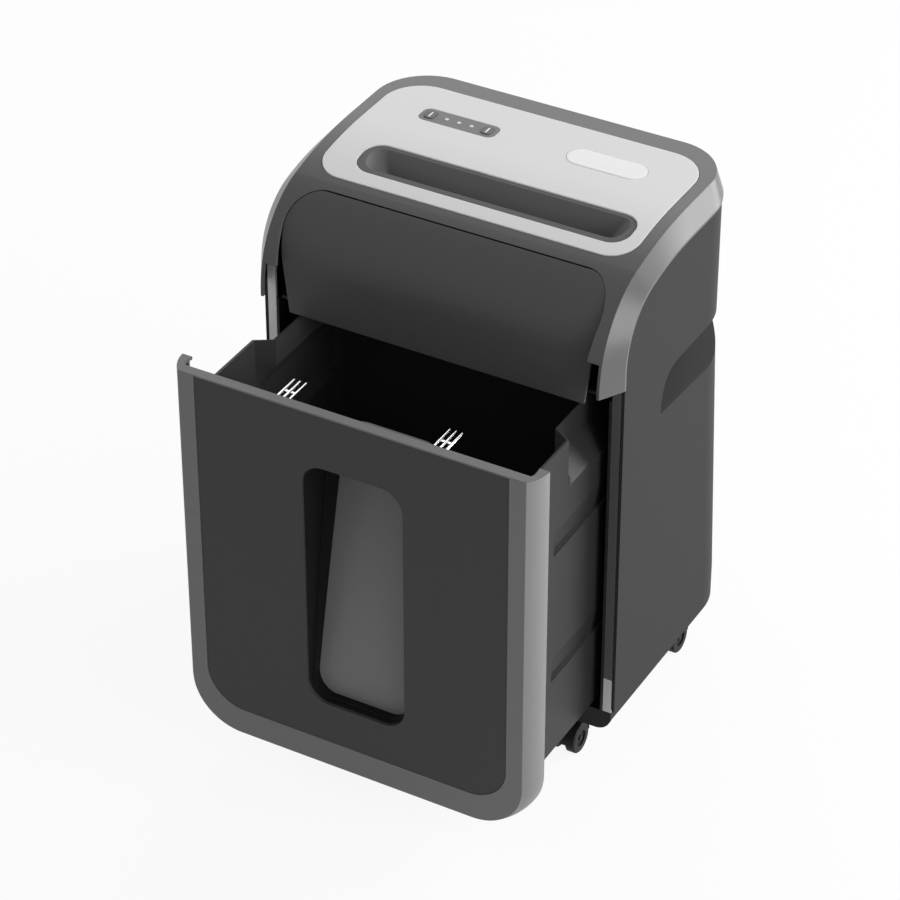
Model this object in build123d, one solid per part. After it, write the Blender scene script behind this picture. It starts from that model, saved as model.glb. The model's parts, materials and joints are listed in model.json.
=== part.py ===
from build123d import *
import os
from math import acos, atan2, cos, pi, radians, sin

# Overall sizes, in millimetres
slot_length = 270.0
slot_side = 21.0
plate_margin = 25.0
head_top = 524.5
body_depth = 279.0
back_lean = 15.0
lean_top = 369.0
corner_radius = 74.0
foot_radius = 68.0
heel_radius = 30.0
toe_radius = 10.0
bin_pull = 133.0
fit_gap = 0.3

# Head: arcs of the side view, from the flat roof down to the legs
crown_radius = 350.0
crown_turn = 15.3
brow_radius = 85.0
brow_turn = 55.7
shin_radius = 110.0
arch_wall = 3.0

# Light band along the edges of the head
band_run = 13.0
rear_run = 5.0
roof_corner = 52.0
head_seam = 2.0
band_drop = 16.0
band_lip = 2.4
leg_depth = 22.7
band_crown_radius = 250.0
band_brow_radius = 64.0
band_brow_turn = 59.7
band_shin_radius = 80.0
band_stand = 1.0
strip_bottom = 451.0
leg_return = 2.5

# Dark front panel of the head
panel_start = 22.6
panel_radius = 65.0
panel_wall = 3.0
panel_bottom = 400.0
panel_foot_margin = 34.0
panel_shoulder_margin = 24.0
panel_shoulder_z = 484.0
panel_crown_margin = 54.0
panel_gap = 0.5

# Silver plate on the roof, with its slot, control strip and plaque
plate_front = 71.0
plate_length = 166.0
plate_front_radius = 26.0
plate_rear_radius = 38.0
plate_thick = 3.0
plate_stand = 0.6
plate_gap = 0.5
slot_width = 41.5
slot_back = 106.0
slot_shift = 9.0
slot_radius = 18.0
strip_length = 77.0
strip_width = 21.0
strip_radius = 7.0
strip_x = -73.5
strip_back = 190.0
strip_thick = 2.4
key_length = 9.0
key_width = 12.0
key_inset = 9.5
key_stand = 0.8
key_travel = 1.0
lens_radius = 2.0
lens_pitch = 12.6
plaque_length = 77.0
plaque_width = 27.0
plaque_x = 75.0
plaque_back = 190.5
plaque_thick = 0.8

# Feed throat
throat_inset = 20.0
throat_gap = 10.0
throat_wall = 2.5
hopper_depth = 20.0
hopper_rim = 2.0
throat_clear = 2.5
flange_reach = 5.0
flange_thick = 2.0

# Cabinet
skin_wall = 3.0
cabinet_bottom = 59.0
grip_top = 390.0
grip_sill = 349.0
grip_sill_fall = 11.0
grip_front = 97.0
grip_back = 262.0
grip_corner = 35.0
grip_depth = 27.0
grip_wall = 2.5
grip_draft = 3.0
grip_rise = 23.0
grip_taper = 27.0
inner_wall = 2.5
inner_space = 12.0
trim_thick = 2.5
trim_top = 440.0
guide_height = 8.0
guide_low = 190.0
guide_high = 300.0
guide_back = 30.0
vent_count = 9
vent_pitch = 9.0
vent_length = 78.0
vent_height = 4.0
vent_z = 424.0
vent_inset = 48.0

# Base tray and runners
base_bottom = 53.0
base_top = 62.0
base_plate = 3.0
base_skirt = 4.0
runner_width = 10.0
runner_inset = 61.0
boss_radius = 15.0
front_skirt = 40.3
skirt_corner = 16.0

# Castors
castor_inset_front = 51.0
castor_inset_rear = 37.0
castor_front = 41.0
castor_back = 60.0
wheel_radius = 15.0
wheel_width = 9.6
wheel_gap = 9.6
wheel_edge = 2.0
hub_radius = 8.0
hub_recess = 1.6
axle_radius = 2.5
castor_trail = 9.0
castor_mount_z = 40.0
stem_radius = 4.0
stem_length = 8.0
hood_plate_radius = 14.0
hood_plate = 3.0
fender_wall = 1.1
fender_gap = 0.6
running_gap = 0.05

# Deck, end plates and cutters
deck_top = 405.0
deck_thick = 3.0
deck_space = 16.0
cutter_rise = 49.0
cutter_spacing = 30.0
disc_radius = 19.0
disc_root = 16.0
disc_hooks = 5
disc_pitch = 12.0
disc_gap = 0.6
disc_twist = 17.0
core_radius = 9.6
journal_radius = 7.0
plate_steel = 3.0
end_plate_height = 88.0
end_plate_reach = 38.0
bush_wall = 4.0
bush_flange = 2.0
tie_radius = 4.0
tie_inset = 8.0
finger_clear = 0.6
comb_bar = 7.0
comb_height = 14.0

# Gears and motor
sync_module = 2.0
sync_teeth = 15
drive_module = 1.5
drive_teeth = 40
small_teeth = 12
large_module = 1.0
large_teeth = 60
pinion_teeth = 10
gear_width = 8.0
gear_step = 3.0
motor_back = 102.0
motor_radius = 26.0
motor_length = 96.0
motor_neck_radius = 9.0
motor_shaft_radius = 2.5
motor_wall = 4.0
armature_radius = 17.0
armature_length = 56.0
gear_axle_radius = 3.0

# Bin
bin_top = 417.0
bin_leg_gap = 1.5
bin_bottom = 34.5
bin_margin = 11.0
bin_corner = 50.0
bin_arm = 16.0
bin_foot = 27.0
bin_inner_corner = 38.0
flare_mid = 9.0
flare_mid_out = 6.0
flare_depth = 23.5
flare_out = 9.6
flare_down = 4.5
frame_wall = 4.5
lip_reach = 7.0
lip_thick = 2.0
top_bar = 1.5
top_bar_depth = 10.0
front_plate_thick = 3.5
front_plate_sink = 0.4
ledge_reach = 6.0
ledge_thick = 3.0
post_radius = 5.0
post_heights = (110.0, 240.0, 370.0)

# Tub
tub_front = 24.0
tub_length = 216.0
tub_space = 10.5
tub_rim = 394.0
tub_bottom = 67.0
tub_wall = 2.5
tub_corner = 12.0
notch_front = 100.0
notch_run = 10.0
notch_in = 16.0
notch_height = 50.0
notch_slope = 26.0
notch_least = 0.6
groove_heights = (148.0, 286.0)
groove_front = 76.0
groove_tall = 26.0
groove_deep = 3.5

# Window scoop in the bin's front
window_x = 2.0
window_width = 100.0
window_low = 104.0
window_high = 362.0
window_radius = 22.0
scoop_low = 13.5
scoop_high = 77.0
step_low = 8.0
step_high = 50.0
step_in = 1.4
scoop_wall = 2.2
scoop_flange = 6.0
pane_wall = 2.5
pane_sag = 2.0

# Bag clips
clip_x = (-83.5, 70.5)
clip_drop = 18.0
clip_wire = 1.4
clip_pitch = 6.0
clip_length = 36.0
clip_base = 5.0

# Switch, gland, electronics and screws
rocker_inset = 36.0
rocker_z = 464.0
rocker_width = 15.0
rocker_height = 22.0
rocker_deep = 12.0
bezel_rim = 3.0
rocker_stand = 2.0
rocker_play = 2.0
rocker_tilt = 8.0
rocker_pin = 1.5
gland_z = 424.0
gland_radius = 7.0
gland_bore = 4.0
gland_length = 14.0
board_inset = 24.0
board_length = 110.0
board_height = 58.0
board_thick = 1.6
sensor_size = 12.0
screw_radius = 3.2
screw_head = 2.0

# Places worked out from the sizes above
front = -(bin_pull + body_depth) / 2
leg_front = front + bin_pull
back = leg_front + body_depth
head_back = back - back_lean
corner_y = head_back - corner_radius
plate_width = slot_length + 2 * slot_side
band_width = plate_width + 2 * plate_margin
throat_length = slot_length - 2 * throat_inset
half = band_width / 2
roof_half = half - band_run
skin_half = half - band_stand
back_half = skin_half - corner_radius
inner_half = skin_half - inner_space
deck_half = skin_half - deck_space
tub_half = inner_half - tub_space
bin_face_half = half - bin_margin
panel_foot_half = half - panel_foot_margin
panel_shoulder_half = half - panel_shoulder_margin
panel_crown_half = half - panel_crown_margin
castor_x_front = half - castor_inset_front
castor_x_rear = half - castor_inset_rear
runner_x = half - runner_inset
vent_x = vent_inset - back_half
rocker_x = back_half - rocker_inset
board_x = board_inset - deck_half
leg_bottom = bin_top + bin_leg_gap
cabinet_front = leg_front + leg_depth + band_lip + fit_gap
feed_y = leg_front + slot_back
cutter_z = deck_top + cutter_rise
front_cutter_y = feed_y - cutter_spacing / 2
rear_cutter_y = feed_y + cutter_spacing / 2
cut_left = slot_shift - throat_length / 2
cut_right = slot_shift + throat_length / 2
left_plate_x = cut_left - plate_steel - fit_gap
right_plate_x = cut_right + fit_gap


def slab(x, y, z):
    """A block between the limits given for each axis."""
    size = [high - low for low, high in (x, y, z)]
    middle = [(high + low) / 2 for low, high in (x, y, z)]
    return Pos(*middle) * Box(*size)


def along_x(sketch, x0, x1):
    """A side view drawn in y and z, carried from x0 to x1."""
    return extrude(Plane.YZ.offset(x0) * sketch, x1 - x0)


def along_y(sketch, y0, y1):
    """A front view drawn in x and z, carried from y0 to y1."""
    return extrude(Plane.XZ.offset(-y1) * sketch, y1 - y0)


def along_z(sketch, z0, z1):
    """A plan drawn in x and y, carried from z0 to z1."""
    return extrude(Plane.XY.offset(z0) * sketch, z1 - z0)


def rod_x(y, z, radius, x0, x1):
    return along_x(Pos(y, z) * Circle(radius), x0, x1)


def rod_y(x, z, radius, y0, y1):
    return along_y(Pos(x, z) * Circle(radius), y0, y1)


def rod_z(x, y, radius, z0, z1):
    return along_z(Pos(x, y) * Circle(radius), z0, z1)


def mirrored(shape):
    """The same piece on the other side of the middle plane."""
    return mirror(shape, about=Plane.YZ)


def arc_section(x, top, nose, rear, bottom, radii, turns, inset):
    """Side view at one x: flat roof, crown, brow and shin arcs, then straight down to the bottom."""
    crown_r, brow_r, shin_r = [radius - inset for radius in radii]
    crown_a = radians(turns[0])
    brow_a = radians(turns[0] + turns[1])
    reach = crown_r * sin(crown_a) + brow_r * (sin(brow_a) - sin(crown_a)) + shin_r * (1 - sin(brow_a))
    start = (nose + inset + reach, top - inset)
    roof = Line((rear, top - inset), start)
    crown = JernArc(start, (-1, 0), crown_r, turns[0])
    brow = JernArc(crown @ 1, crown % 1, brow_r, turns[1])
    shin = JernArc(brow @ 1, brow % 1, shin_r, 90 - turns[0] - turns[1])
    drop = Line(shin @ 1, (nose + inset, bottom))
    sole = Line((nose + inset, bottom), (rear, bottom))
    wall = Line((rear, bottom), (rear, top - inset))
    return Plane.YZ.offset(x) * make_face([roof, crown, brow, shin, drop, sole, wall])


def roof_section(x, inset, rear, bottom):
    """The head's side view where its roof is flat across."""
    radii = (crown_radius, brow_radius, shin_radius)
    return arc_section(x, head_top, leg_front, rear, bottom, radii, (crown_turn, brow_turn), inset)


def edge_section(x, inset, rear, bottom):
    """The head's side view at the outer edge of its light bands."""
    radii = (band_crown_radius, band_brow_radius, band_shin_radius)
    nose = leg_front + leg_depth
    turns = (crown_turn, band_brow_turn)
    return arc_section(x, head_top - band_drop, nose, rear, bottom, radii, turns, inset)


def rear_plan(half_width, rear, radius):
    """Plan of the head from just before its rear corners to its rear."""
    start = corner_y - head_seam
    y0 = rear - radius
    edges = [Line((-half_width, start), (half_width, start)), Line((half_width, start), (half_width, y0))]
    edges.append(CenterArc((half_width - radius, y0), radius, 0, 90))
    edges.append(Line((half_width - radius, rear), (radius - half_width, rear)))
    edges.append(CenterArc((radius - half_width, y0), radius, 90, 90))
    edges.append(Line((-half_width, y0), (-half_width, start)))
    return make_face(edges)


def head_block(inset, lip, bottom, spread):
    """All that lies inside the head's skin; spread opens the sides below the band."""
    roof_x = roof_half - inset / 2
    near = roof_section(-roof_x, inset, corner_y, bottom)
    middle = extrude(near, 2 * roof_x, dir=(1, 0, 0))
    edge = edge_section(half, lip, corner_y, bottom)
    side = loft([roof_section(roof_x, inset, corner_y, bottom), edge], ruled=True)
    if spread:
        side += extrude(edge, spread, dir=(1, 0, 0))
    low = head_top - band_drop - lip
    shrink = band_run + inset / 2
    rear_shrink = rear_run + inset / 2
    wide = Plane.XY.offset(low) * rear_plan(half, head_back, corner_radius)
    narrow_plan = rear_plan(half - shrink, head_back - rear_shrink, roof_corner - inset / 2)
    narrow = Plane.XY.offset(head_top - inset) * narrow_plan
    rear = loft([wide, narrow], ruled=True)
    rear += along_z(rear_plan(half + spread, head_back + spread, corner_radius + spread), bottom, low)
    return middle + side + mirrored(side) + rear


def surface_sheet(outer, inner, rear):
    """A sheet that follows the roof between two depths below it."""
    reach = band_width
    whole = extrude(roof_section(-reach / 2, outer, rear, leg_bottom), reach, dir=(1, 0, 0))
    return whole - extrude(roof_section(-reach / 2, inner, rear + 1, leg_bottom - 1), reach, dir=(1, 0, 0))


def plate_outline(grow):
    """Plan of the silver plate."""
    middle = leg_front + plate_front + plate_length / 2
    outline = Rectangle(plate_width + 2 * grow, plate_length + 2 * grow)
    outline = fillet(outline.vertices().group_by(Axis.Y)[0], plate_front_radius + grow)
    outline = fillet(outline.vertices().group_by(Axis.Y)[-1], plate_rear_radius + grow)
    return Pos(0, middle) * outline


def slot_outline(grow):
    """Plan of the recess round the paper slot."""
    outline = RectangleRounded(slot_length + 2 * grow, slot_width + 2 * grow, slot_radius + grow)
    return Pos(slot_shift, feed_y) * outline


def strip_outline(grow):
    """Plan of the control strip."""
    outline = RectangleRounded(strip_length + 2 * grow, strip_width + 2 * grow, strip_radius + grow)
    return Pos(strip_x, leg_front + strip_back) * outline


def plaque_outline(grow):
    """Plan of the plaque, with round ends."""
    length = plaque_length + 2 * grow
    width = plaque_width + 2 * grow
    return Pos(plaque_x, leg_front + plaque_back) * SlotOverall(length, width)


def panel_top_point():
    """Where the front panel leaves the brow of the head, as y and z."""
    brow_a = radians(crown_turn + brow_turn)
    centre_y = leg_front + shin_radius * (1 - sin(brow_a)) + brow_radius * sin(brow_a)
    centre_z = head_top - crown_radius + (crown_radius - brow_radius) * cos(radians(crown_turn))
    a = radians(panel_start)
    return (centre_y - brow_radius * sin(a), centre_z + brow_radius * cos(a))


def panel_outline(grow):
    """Front view of the head's front panel."""
    top = panel_top_point()[1] + grow
    low = panel_bottom - grow
    foot = panel_foot_half + grow
    shoulder = panel_shoulder_half + grow
    side = Line((foot, low), (shoulder, panel_shoulder_z))
    corner = Bezier((shoulder, panel_shoulder_z), (shoulder, top), (panel_crown_half, top))
    roof = Line((panel_crown_half, top), (-panel_crown_half, top))
    far_corner = Bezier((-panel_crown_half, top), (-shoulder, top), (-shoulder, panel_shoulder_z))
    far_side = Line((-shoulder, panel_shoulder_z), (-foot, low))
    sole = Line((-foot, low), (foot, low))
    return make_face([side, corner, roof, far_corner, far_side, sole])


def head_arch():
    inner_bottom = leg_bottom - 1
    arch = head_block(0, 0, leg_bottom, 0) - head_block(arch_wall, band_lip, inner_bottom, arch_wall)
    gap_half = roof_half - leg_return
    arch -= slab((-gap_half, gap_half), (leg_front - 1, corner_y), (inner_bottom, strip_bottom))
    arch -= along_y(panel_outline(panel_gap), leg_front - 1, corner_y)
    arch -= along_z(plate_outline(plate_gap), strip_bottom, head_top + 1)
    return arch


def head_front_panel():
    start = panel_top_point()
    a = radians(panel_start)
    heading = (-cos(a), -sin(a))
    outer = JernArc(start, heading, panel_radius, 90 - panel_start)
    inner_start = (start[0] + panel_wall * sin(a), start[1] - panel_wall * cos(a))
    inner = JernArc(inner_start, heading, panel_radius - panel_wall, 90 - panel_start)
    nose = (outer @ 1).X
    low = panel_bottom
    edges = [
        outer,
        Line(outer @ 1, (nose, low)),
        Line((nose, low), (nose + panel_wall, low)),
        Line((nose + panel_wall, low), inner @ 1),
        inner,
        Line(inner_start, start),
    ]
    sheet = along_x(make_face(edges), -half, half)
    return sheet & along_y(panel_outline(0), leg_front - 1, corner_y)


def top_panel():
    sheet = surface_sheet(-plate_stand, plate_thick - plate_stand, head_back)
    plate = sheet & along_z(plate_outline(0), strip_bottom, head_top + plate_thick)
    plate -= along_z(slot_outline(0), strip_bottom, head_top + plate_thick)
    plate -= along_z(strip_outline(fit_gap), strip_bottom, head_top + plate_thick)
    pocket = head_top + plate_stand - plaque_thick
    return plate - along_z(plaque_outline(fit_gap), pocket, head_top + plate_thick)


def feed_throat():
    hopper_floor = head_top - hopper_depth
    throat_bottom = cutter_z + disc_radius + throat_clear
    above = head_top + 1
    under = extrude(roof_section(-half, plate_stand, head_back, throat_bottom), band_width, dir=(1, 0, 0))
    cup = under & along_z(slot_outline(-fit_gap), hopper_floor - throat_wall, above)
    under_plate = plate_thick - plate_stand + fit_gap
    flange = surface_sheet(under_plate, under_plate + flange_thick, head_back)
    cup += flange & along_z(slot_outline(flange_reach), strip_bottom, above)
    centre = Pos(slot_shift, feed_y)
    mouth_width = slot_width - 2 * hopper_rim
    mouth = RectangleRounded(slot_length - 2 * hopper_rim, mouth_width, slot_radius - hopper_rim)
    neck = Rectangle(throat_length, throat_gap + 2 * throat_wall)
    floor_slot = RectangleRounded(throat_length - 2 * throat_wall, throat_gap, throat_gap / 4)
    cup += along_z(centre * neck, throat_bottom, hopper_floor)
    low_face = Plane.XY.offset(hopper_floor) * (centre * floor_slot)
    cup -= loft([low_face, Plane.XY.offset(above) * (centre * mouth)])
    return cup - along_z(centre * floor_slot, throat_bottom - 1, hopper_floor)


def key_places():
    """Middles of the two keys at the ends of the control strip."""
    reach = strip_length / 2 - key_inset
    return [(strip_x - reach, leg_front + strip_back), (strip_x + reach, leg_front + strip_back)]


def key_outline(place, grow):
    return Pos(*place) * RectangleRounded(key_length + 2 * grow, key_width + 2 * grow, key_length / 4)


def lens_places():
    return [(strip_x + i * lens_pitch, leg_front + strip_back) for i in (-1, 0, 1)]


def control_strip():
    top = head_top + plate_stand
    strip = along_z(strip_outline(0), top - strip_thick, top)
    for place in key_places():
        strip -= along_z(key_outline(place, fit_gap), top - strip_thick - 1, top + 1)
    for x, y in lens_places():
        strip -= rod_z(x, y, lens_radius + fit_gap / 2, top - strip_thick - 1, top + 1)
    return strip


def indicator_lenses():
    top = head_top + plate_stand
    lenses = [rod_z(x, y, lens_radius, top - strip_thick, top + fit_gap) for x, y in lens_places()]
    return Compound(children=lenses)


def key(place):
    top = head_top + plate_stand
    return along_z(key_outline(place, 0), top - strip_thick - key_travel, top + key_stand)


def plaque():
    low = head_top + plate_stand - plaque_thick
    return along_z(plaque_outline(0), low, low + plaque_thick + fit_gap)


def cabinet_plan(inset, rear, corner):
    """Plan of the cabinet from well in front of it to its rear."""
    width = skin_half - inset
    radius = corner - inset
    y1 = rear - inset
    points = [(radius - width, y1), (-width, y1 - radius), (-width, leg_front), (width, leg_front)]
    points += [(width, y1 - radius), (width - radius, y1)]
    edges = [Line(points[i], points[i + 1]) for i in (1, 2, 3)]
    edges.append(Line(points[5], points[0]))
    edges.append(CenterArc((width - radius, y1 - radius), radius, 0, 90))
    edges.append(CenterArc((radius - width, y1 - radius), radius, 90, 90))
    return make_face(edges)


def cabinet_block(inset):
    """The cabinet's outer form, leaning back towards its foot, shrunk by an inset."""
    top = head_top - band_drop
    heel_top = cabinet_bottom + heel_radius
    foot_plan = cabinet_plan(inset, back, foot_radius)
    waist_plan = cabinet_plan(inset, head_back, corner_radius)
    lean = loft([Plane.XY.offset(heel_top) * foot_plan, Plane.XY.offset(lean_top) * waist_plan], ruled=True)
    return along_z(foot_plan, cabinet_bottom, heel_top) + lean + along_z(waist_plan, lean_top, top)


def heel_profile(y0, y1, low, radius):
    """Side view of a block from y0 to y1 whose lower rear corner is round."""
    outline = Pos((y0 + y1) / 2, (low + head_top) / 2) * Rectangle(y1 - y0, head_top - low)
    corner = outline.vertices().group_by(Axis.Y)[0].sort_by(Axis.X)[-1]
    return fillet(corner, radius)


def cabinet_shell():
    """Both side panels and the back as one open shell, before it is cut apart."""
    limit = edge_section(-half, band_lip + fit_gap, back + 1, cabinet_bottom)
    shell = (cabinet_block(0) - cabinet_block(skin_wall)) & extrude(limit, band_width, dir=(1, 0, 0))
    shell = shell & along_x(heel_profile(leg_front, back, cabinet_bottom, heel_radius), -half, half)
    toe = Pos(cabinet_front, cabinet_bottom) * Rectangle(2 * toe_radius, 2 * toe_radius)
    toe -= Pos(cabinet_front + toe_radius, cabinet_bottom + toe_radius) * Circle(toe_radius)
    return shell - along_x(toe, -half, half)


def grip_outline(x, deep, grow):
    """Side view of the hand grip at its mouth, or at its floor where it is deep: a sill under a long arch."""
    y0 = leg_front + grip_front - grow + deep * grip_taper
    y1 = leg_front + grip_back
    high = grip_top + grow - deep * grip_draft
    low = grip_sill - grow + deep * grip_rise
    fall = grip_sill_fall * (1 - deep)
    corner = grip_corner - deep * grip_taper
    sill = Line((y0, low), (y1, low - fall))
    rear = Line((y1, low - fall), (y1, high))
    roof = Line((y1, high), (y0 + corner, high))
    arch = Bezier((y0 + corner, high), (y0, high), (y0, low))
    return Plane.YZ.offset(x) * make_face([sill, rear, roof, arch])


def grip_form(grow):
    """The hollow of the right hand grip, or the cup round it where it is grown by a wall."""
    mouth = grip_outline(skin_half + 1, 0, grow)
    floor_face = grip_outline(skin_half - grip_depth - grow, 1, grow)
    return loft([mouth, floor_face], ruled=True)


def right_side_panel(shell):
    reach = slab((back_half, half), (leg_front, back + 1), (cabinet_bottom - 1, head_top))
    panel = shell & reach
    panel += grip_form(grip_wall) & cabinet_block(skin_wall / 2)
    return panel - grip_form(0)


def back_panel(shell):
    edge = back_half - fit_gap
    panel = shell & slab((-edge, edge), (leg_front, back + 1), (cabinet_bottom - 1, head_top))
    for i in range(vent_count):
        z = vent_z + i * vent_pitch
        slot = Pos(vent_x, z) * SlotOverall(vent_length, vent_height)
        panel -= along_y(slot, head_back - 2 * skin_wall, head_back + 1)
    panel -= along_y(rocker_hole(fit_gap), head_back - 2 * skin_wall, head_back + 1)
    return panel - rod_y(rocker_x, gland_z, gland_radius + fit_gap / 2, head_back - 2 * skin_wall, back)


def right_front_trim():
    x = (inner_half + fit_gap, skin_half - skin_wall - fit_gap)
    return slab(x, (cabinet_front, cabinet_front + trim_thick), (base_top + fit_gap, trim_top))


def right_inner_wall():
    rear = head_back - skin_wall - fit_gap - corner_radius / 2
    tall = (base_top, deck_top - deck_thick)
    wall = slab((inner_half - inner_wall, inner_half), (cabinet_front, rear), tall)
    guide_x = (tub_half + fit_gap, inner_half - inner_wall)
    for z in (guide_low, guide_high):
        wall += slab(guide_x, (cabinet_front + guide_back, rear), (z, z + guide_height))
    return wall - grip_form(grip_wall + fit_gap)


def castor_places():
    """Swivel axes of the four castors, by name."""
    near = leg_front + castor_front
    far = back - castor_back
    return {
        "front_left": (-castor_x_front, near),
        "front_right": (castor_x_front, near),
        "rear_left": (-castor_x_rear, far),
        "rear_right": (castor_x_rear, far),
    }


def base_tray():
    inset = skin_wall + fit_gap
    heel_y = back - inset
    tray = along_z(cabinet_plan(inset, back, foot_radius), base_bottom, base_top)
    pocket_plan = cabinet_plan(inset + base_skirt, back, foot_radius)
    pocket = along_z(pocket_plan, base_bottom - 1, base_top - base_plate)
    tray -= pocket & slab((-half, half), (cabinet_front + base_skirt, back + 1), (0, head_top))
    heel = heel_profile(cabinet_front, heel_y, base_top - base_plate, heel_radius)
    heel -= heel_profile(cabinet_front - 1, heel_y - base_plate, base_top, heel_radius - base_plate)
    flat = heel_profile(cabinet_front, heel_y - heel_radius, base_bottom, base_plate)
    tray = tray & along_x(flat, -half, half)
    wide = skin_half - inset
    apron = Pos(0, (front_skirt + base_top) / 2) * Rectangle(2 * wide, base_top - front_skirt)
    apron = fillet(apron.vertices().group_by(Axis.Y)[0], skirt_corner)
    tray += along_y(apron, cabinet_front, cabinet_front + base_skirt)
    kick = along_x(heel, -half, half) & cabinet_block(inset)
    tray += kick & slab((-half, half), (heel_y - heel_radius - 1, back), (0, cabinet_bottom + heel_radius))
    for x in (-runner_x, runner_x):
        run = (cabinet_front, head_back - skin_wall - corner_radius)
        tray += slab((x - runner_width / 2, x + runner_width / 2), run, (base_top, tub_bottom - fit_gap))
    for x, y in castor_places().values():
        tray += rod_z(x, y, boss_radius, castor_mount_z, base_top - base_plate)
        tray -= rod_z(x, y, stem_radius + running_gap, castor_mount_z - 1, castor_mount_z + stem_length + 1)
    return tray


def castor_hood(place):
    x, y = place
    axle_y = y - castor_trail
    top = castor_mount_z - fit_gap
    hood = rod_z(x, y, hood_plate_radius, top - hood_plate, top)
    hood += rod_z(x, y, stem_radius, top - 1, castor_mount_z + stem_length)
    web = wheel_gap / 2 - fit_gap
    outer = wheel_radius + fender_gap + fender_wall
    disc = Pos(axle_y, wheel_radius) * Circle(outer)
    high = Pos(axle_y, wheel_radius + outer / 2) * Rectangle(2 * outer, outer)
    hood += along_x(disc & high, x - web, x + web)
    hood += rod_x(axle_y, wheel_radius, hub_radius, x - web, x + web)
    reach = web + wheel_width
    shell = disc - Pos(axle_y, wheel_radius) * Circle(outer - fender_wall)
    hood += along_x(shell & high, x - reach, x + reach)
    hood += slab((x - web, x + web), (axle_y, y + stem_radius), (wheel_radius + hub_radius, top - hood_plate))
    hood += rod_x(axle_y, wheel_radius, axle_radius, x - reach, x + reach)
    return hood


def castor_wheels(place):
    x, y = place
    axle_y = y - castor_trail
    wheels = []
    for side in (-1, 1):
        near = x + side * wheel_gap / 2
        far = near + side * wheel_width
        wheel = rod_x(axle_y, wheel_radius, wheel_radius, min(near, far), max(near, far))
        wheel = chamfer(wheel.edges().filter_by(GeomType.CIRCLE), wheel_edge / 2)
        sunk = far - side * hub_recess
        wheel -= rod_x(axle_y, wheel_radius, hub_radius, min(sunk, far), max(sunk, far))
        bore = axle_radius + running_gap
        wheel -= rod_x(axle_y, wheel_radius, bore, min(near, far) - 1, max(near, far) + 1)
        wheels.append(wheel)
    return Compound(children=wheels)


def head_deck():
    rear = head_back - skin_wall - fit_gap
    plan = cabinet_plan(skin_half - deck_half, head_back - skin_wall, corner_radius)
    deck = along_z(plan, deck_top - deck_thick, deck_top)
    deck &= slab((-half, half), (cabinet_front + trim_thick + fit_gap, rear), (0, head_top))
    drop_y = (front_cutter_y - disc_radius, rear_cutter_y + disc_radius)
    return deck - slab((cut_left, cut_right), drop_y, (0, head_top))


def end_plate(x, rear):
    """A steel plate across one end of the cutters, with holes for their bushes and tie rods."""
    low = feed_y - end_plate_reach
    plate = slab((x, x + plate_steel), (low, rear), (deck_top, deck_top + end_plate_height))
    for y in (front_cutter_y, rear_cutter_y):
        plate -= rod_x(y, cutter_z, journal_radius + bush_wall, x - 1, x + plate_steel + 1)
    for y, z in tie_places():
        plate -= rod_x(y, z, tie_radius, x - 1, x + plate_steel + 1)
    return plate


def tie_places():
    """Middles of the four tie rods, as y and z."""
    near = feed_y - end_plate_reach + tie_inset
    far = feed_y + end_plate_reach - tie_inset
    low = deck_top + tie_inset
    high = deck_top + end_plate_height - tie_inset
    return [(near, low), (far, low), (near, high), (far, high)]


def right_end_plate():
    y, z = motor_place()
    plate = end_plate(right_plate_x, y + motor_radius)
    plate -= rod_x(y, z, motor_neck_radius + fit_gap, right_plate_x - 1, right_plate_x + plate_steel + 1)
    y, z = middle_gear_place()
    plate -= rod_x(y, z, gear_axle_radius, right_plate_x - 1, right_plate_x + plate_steel + 1)
    for y, z in motor_screw_places():
        plate -= rod_x(y, z, screw_radius / 2, right_plate_x - 1, right_plate_x + plate_steel + 1)
    return plate


def left_end_plate():
    return end_plate(left_plate_x, feed_y + end_plate_reach)


def tie_rods():
    rods = []
    for y, z in tie_places():
        rods.append(rod_x(y, z, tie_radius, left_plate_x, right_plate_x + plate_steel))
    return Compound(children=rods)


def cutter_bushes():
    bushes = []
    for x, side in ((left_plate_x, -1), (right_plate_x + plate_steel, 1)):
        for y in (front_cutter_y, rear_cutter_y):
            inner = x - side * plate_steel
            flange = x + side * bush_flange
            bush = rod_x(y, cutter_z, journal_radius + bush_wall, min(x, inner), max(x, inner))
            flange_radius = min(journal_radius + bush_wall + 2, cutter_spacing / 2 - fit_gap)
            bush += rod_x(y, cutter_z, flange_radius, min(x, flange), max(x, flange))
            low, high = min(inner, flange), max(inner, flange)
            bushes.append(bush - rod_x(y, cutter_z, journal_radius + running_gap, low - 1, high + 1))
    return Compound(children=bushes)


def disc_sketch(turn):
    """A cutting disc: a saw-toothed round with hooks."""
    points = []
    for i in range(disc_hooks):
        a = radians(turn + 360.0 * i / disc_hooks)
        step = 2 * pi / disc_hooks
        points.append((disc_root * cos(a), disc_root * sin(a)))
        for share in (0.0, 1 / 3, 2 / 3):
            r = disc_radius - (disc_radius - disc_root) * share
            points.append((r * cos(a + step * share), r * sin(a + step * share)))
    return make_face(Polyline(*points, close=True))


def disc_thick():
    return disc_pitch / 2 - disc_gap


def disc_starts(offset):
    """Where each disc of one cutter begins along x."""
    count = int((throat_length - disc_pitch) // disc_pitch) + 1
    return [cut_left + offset + i * disc_pitch for i in range(count)]


def cutter(y, offset, spin, tail):
    """A cutter machined in one piece: six-sided core, hooked discs and two journals."""
    core = Pos(y, cutter_z) * RegularPolygon(core_radius, 6)
    body = along_x(core, cut_left + fit_gap, cut_right - fit_gap)
    body += rod_x(y, cutter_z, journal_radius, left_plate_x - gear_step, tail)
    for i, x in enumerate(disc_starts(offset)):
        body += along_x(Pos(y, cutter_z) * disc_sketch(spin * i * disc_twist), x, x + disc_thick())
    return body


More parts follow.
